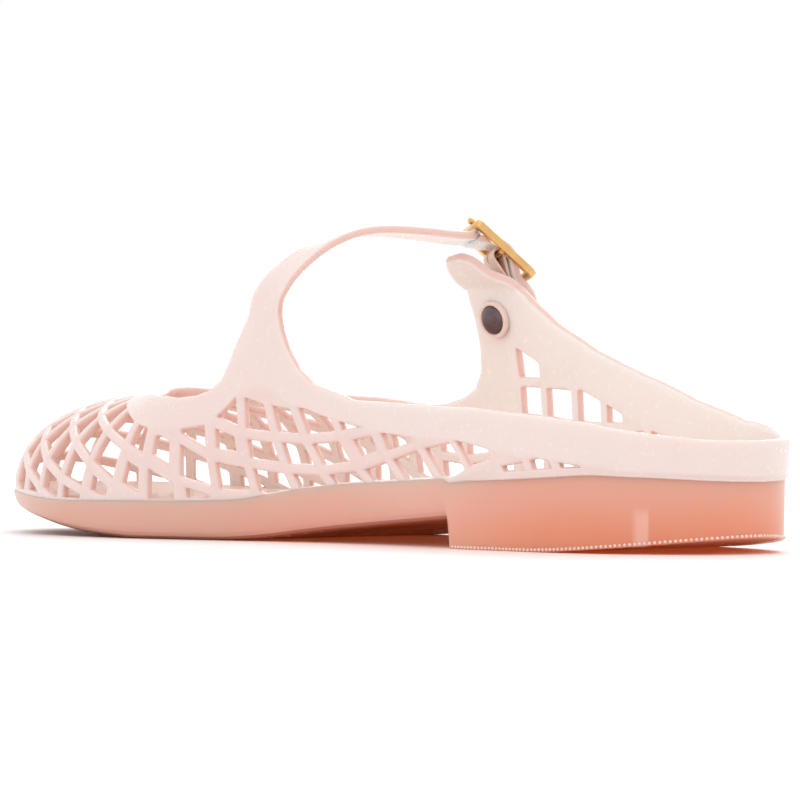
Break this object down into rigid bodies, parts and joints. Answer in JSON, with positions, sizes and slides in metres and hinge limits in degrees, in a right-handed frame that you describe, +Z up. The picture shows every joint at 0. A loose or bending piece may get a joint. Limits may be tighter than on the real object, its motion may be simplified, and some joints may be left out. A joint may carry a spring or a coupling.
{
  "type": "jelly sandal",
  "caption": "Low-heeled jelly sandal for the right foot: moulded lattice cage with a closed round toe, open heel, instep strap and square-cornered metal buckle.",
  "frame": {"origin": "on the floor under the flat of the heel block, 42.5 mm in front of the back of the heel", "axes": "+Y towards the toe, +X towards the outer side of the foot, +Z up"},
  "size_m": [0.0828, 0.25, 0.0756],
  "materials": {
    "jelly_pvc": "translucent soft PVC, satin gloss",
    "sole_pvc": "translucent soft PVC in a thick section, satin",
    "footbed": "satin soft plastic",
    "gold_plate": "polished pale gold plate",
    "gunmetal": "dark polished metal"
  },
  "bodies": {
    "root": {"upper": "jelly_pvc", "outsole": "sole_pvc", "insole": "footbed", "buckle_frame": "gold_plate", "buckle_prong": "gold_plate", "buckle_tab": "jelly_pvc", "rivet": "gunmetal"}
  },
  "joints": []
}
